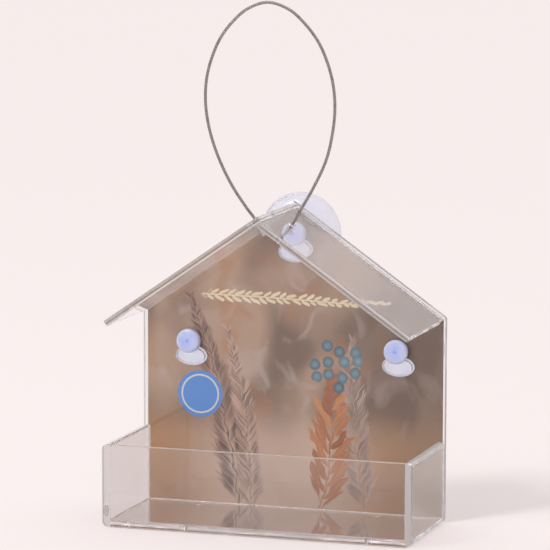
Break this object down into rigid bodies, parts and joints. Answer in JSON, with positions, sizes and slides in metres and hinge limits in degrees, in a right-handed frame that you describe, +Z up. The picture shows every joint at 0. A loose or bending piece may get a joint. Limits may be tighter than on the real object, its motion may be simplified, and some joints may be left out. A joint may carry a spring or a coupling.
{
  "type": "window bird feeder",
  "caption": "Clear acrylic bird feeder with a seed tray under a gabled roof, suction cups in keyholes for a window and a steel cable loop to hang it by.",
  "frame": {"origin": "middle of the floor's underside", "axes": "+Z up, +X to the right seen from the front, +Y from the tray's front towards the window pane"},
  "size_m": [0.15, 0.07, 0.2469],
  "materials": {
    "clear_acrylic": "clear, polished faces and bright sawn edges",
    "printed_card": "printed, satin",
    "soft_vinyl": "translucent soft plastic with a blue violet tint",
    "steel_cable": "twisted wire rope",
    "crimp_metal": "pressed, satin"
  },
  "bodies": {
    "feeder": {"back_panel": "clear_acrylic", "backing_card": "printed_card", "front_panel": "clear_acrylic", "side_panel_left": "clear_acrylic", "side_panel_right": "clear_acrylic", "floor_panel": "clear_acrylic", "roof_panel_left": "clear_acrylic", "roof_panel_right": "clear_acrylic"},
    "cup_left": {"suction_cup_left": "soft_vinyl"},
    "cup_right": {"suction_cup_right": "soft_vinyl"},
    "cup_top": {"suction_cup_top": "soft_vinyl"},
    "hanger": {"hanger_cable": "steel_cable", "cable_sleeve_left": "crimp_metal", "cable_sleeve_right": "crimp_metal"}
  },
  "joints": [
    {"name": "cup_left_slide", "type": "slide", "parent": "feeder", "child": "cup_left", "axis": [0, 0, -1], "range_m": [0, 0.0076]},
    {"name": "cup_right_slide", "type": "slide", "parent": "feeder", "child": "cup_right", "axis": [0, 0, -1], "range_m": [0, 0.0076]},
    {"name": "cup_top_slide", "type": "slide", "parent": "feeder", "child": "cup_top", "axis": [0, 0, -1], "range_m": [0, 0.0076]},
    {"name": "hanger_swing", "type": "hinge", "parent": "feeder", "child": "hanger", "pos_m": [0, 0, 0.14159], "axis": [1, 0, 0], "range_deg": [-28, 15]}
  ]
}
